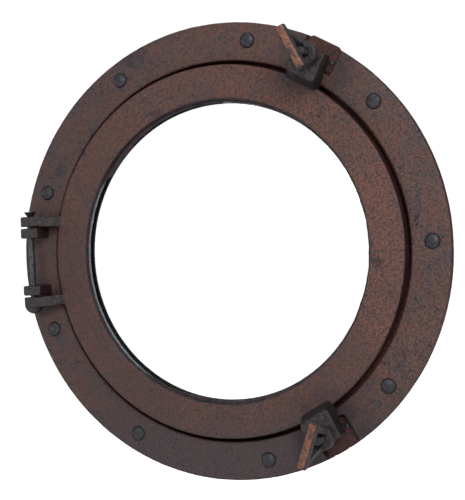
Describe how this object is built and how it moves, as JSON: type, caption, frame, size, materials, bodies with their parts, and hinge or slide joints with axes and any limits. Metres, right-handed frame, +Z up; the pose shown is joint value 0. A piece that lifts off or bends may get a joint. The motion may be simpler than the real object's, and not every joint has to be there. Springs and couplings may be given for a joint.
{
  "type": "opening porthole",
  "caption": "Round hinged porthole: a glazed door in a flanged wall ring, clamped by swing-bolt dogs with stirrup wing nuts.",
  "frame": {"origin": "centre of the flange's flat back face, on the porthole's axis", "axes": "+Y goes into the wall along the porthole's axis, the room side faces -Y, +X is away from the hinge, +Z is up along the hinge pin"},
  "size_m": [0.508, 0.1354, 0.508],
  "materials": {
    "patinated_casting": "rough sand-cast bronze with a brown-copper patina and dark mottling",
    "dark_fastener": "blackened, worn to bronze at the edges",
    "worn_bronze": "bronze polished by hands over a brown patina",
    "pin_steel": "dull steel, stained brown",
    "glass": "clear, flat",
    "seal_rubber": "matt black",
    "bedding": "pale grey cured bedding"
  },
  "bodies": {
    "wall_ring": {"mounting_ring": "patinated_casting", "mounting_screws": "dark_fastener", "bracket_rivets": "dark_fastener", "dog_bracket_upper": "patinated_casting", "dog_bracket_lower": "patinated_casting", "dog_pivot_pin_upper": "pin_steel", "dog_pivot_pin_lower": "pin_steel"},
    "door": {"door_frame": "patinated_casting", "glass_pane": "glass", "glass_bead": "bedding", "glass_gasket": "seal_rubber", "glass_retaining_ring": "patinated_casting", "retaining_screws": "dark_fastener", "door_seal": "seal_rubber", "hinge_pin": "pin_steel"},
    "dog_upper": {"swing_bolt_upper": "worn_bronze"},
    "washer_upper": {"dog_washer_upper": "worn_bronze"},
    "nut_upper": {"wing_nut_upper": "worn_bronze"},
    "dog_lower": {"swing_bolt_lower": "worn_bronze"},
    "washer_lower": {"dog_washer_lower": "worn_bronze"},
    "nut_lower": {"wing_nut_lower": "worn_bronze"}
  },
  "joints": [
    {"name": "door_swing", "type": "hinge", "parent": "wall_ring", "child": "door", "pos_m": [-0.2337, -0.0282, 0], "axis": [0, 0, -1], "range_deg": [0, 175]},
    {"name": "dog_upper_swing", "type": "hinge", "parent": "wall_ring", "child": "dog_upper", "pos_m": [0.11876, -0.0105, 0.20162], "axis": [-0.8616, 0, 0.5075], "range_deg": [0, 75]},
    {"name": "nut_upper_lift", "type": "slide", "parent": "dog_upper", "child": "washer_upper", "axis": [0, -1, 0], "range_m": [0, 0.006]},
    {"name": "nut_upper_spin", "type": "hinge", "parent": "washer_upper", "child": "nut_upper", "pos_m": [0.11876, -0.06, 0.20162], "axis": [0, -1, 0], "range_deg": [0, 1440]},
    {"name": "dog_lower_swing", "type": "hinge", "parent": "wall_ring", "child": "dog_lower", "pos_m": [0.115, -0.0105, -0.19919], "axis": [0.866, 0, 0.5], "range_deg": [0, 75]},
    {"name": "nut_lower_lift", "type": "slide", "parent": "dog_lower", "child": "washer_lower", "axis": [0, -1, 0], "range_m": [0, 0.006]},
    {"name": "nut_lower_spin", "type": "hinge", "parent": "washer_lower", "child": "nut_lower", "pos_m": [0.115, -0.06, -0.19919], "axis": [0, -1, 0], "range_deg": [0, 1440]}
  ],
  "couplings": [
    {"joint": "nut_upper_spin", "follows": "nut_upper_lift", "rad_per_m": 4188.8},
    {"joint": "nut_lower_spin", "follows": "nut_lower_lift", "rad_per_m": 4188.8}
  ]
}
